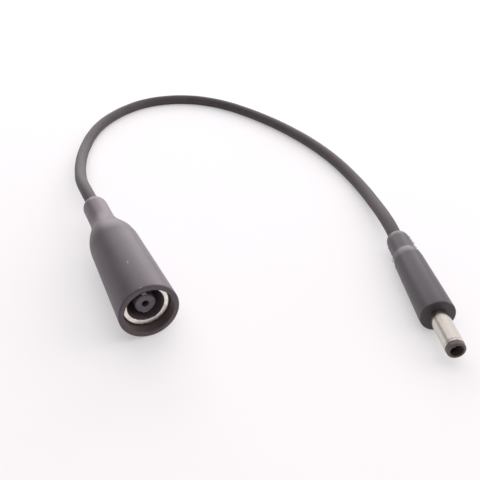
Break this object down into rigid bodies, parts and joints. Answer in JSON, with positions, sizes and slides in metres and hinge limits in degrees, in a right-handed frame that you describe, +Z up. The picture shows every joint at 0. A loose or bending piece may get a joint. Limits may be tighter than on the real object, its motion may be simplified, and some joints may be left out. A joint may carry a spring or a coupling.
{
  "type": "dc tip adapter cable",
  "caption": "Short power adapter cable: a thick moulded barrel socket with a centre post in its recessed mouth, a round cord, and a slimmer barrel plug with a centre pin.",
  "frame": {"origin": "middle of the socket's mouth", "axes": "the socket's axis is the Y axis and -Y is the way out of its mouth; +Z is up from the surface that the cable lies on; the plug is on the +X side"},
  "size_m": [0.0916, 0.1702, 0.0142],
  "materials": {
    "housing": "soft PVC with a satin skin",
    "cord": "flexible PVC, satin",
    "inner_mould": "natural polyethylene",
    "insulator": "moulded, fine matt",
    "nickel": "nickel plated, bright",
    "brass": "plain, drawn",
    "solder": "dull tin solder",
    "power_core": "PVC insulation",
    "ground_core": "PVC insulation",
    "sense_core": "PVC insulation"
  },
  "bodies": {
    "root": {"socket_housing": "housing", "socket_inner_mould": "inner_mould", "socket_sleeve": "nickel", "socket_insulator": "insulator", "socket_inner_contact": "brass", "socket_sense_contact": "brass", "socket_power_lead": "power_core", "socket_ground_lead": "ground_core", "socket_sense_lead": "sense_core", "socket_solder": "solder", "cable_jacket": "cord", "plug_housing": "housing", "plug_inner_mould": "inner_mould", "plug_barrel": "nickel", "plug_nose_insulator": "insulator", "plug_inner_contact": "brass", "plug_pin_insulator": "insulator", "plug_sense_pin": "brass", "plug_power_lead": "power_core", "plug_ground_lead": "ground_core", "plug_sense_lead": "sense_core", "plug_solder": "solder"}
  },
  "joints": []
}
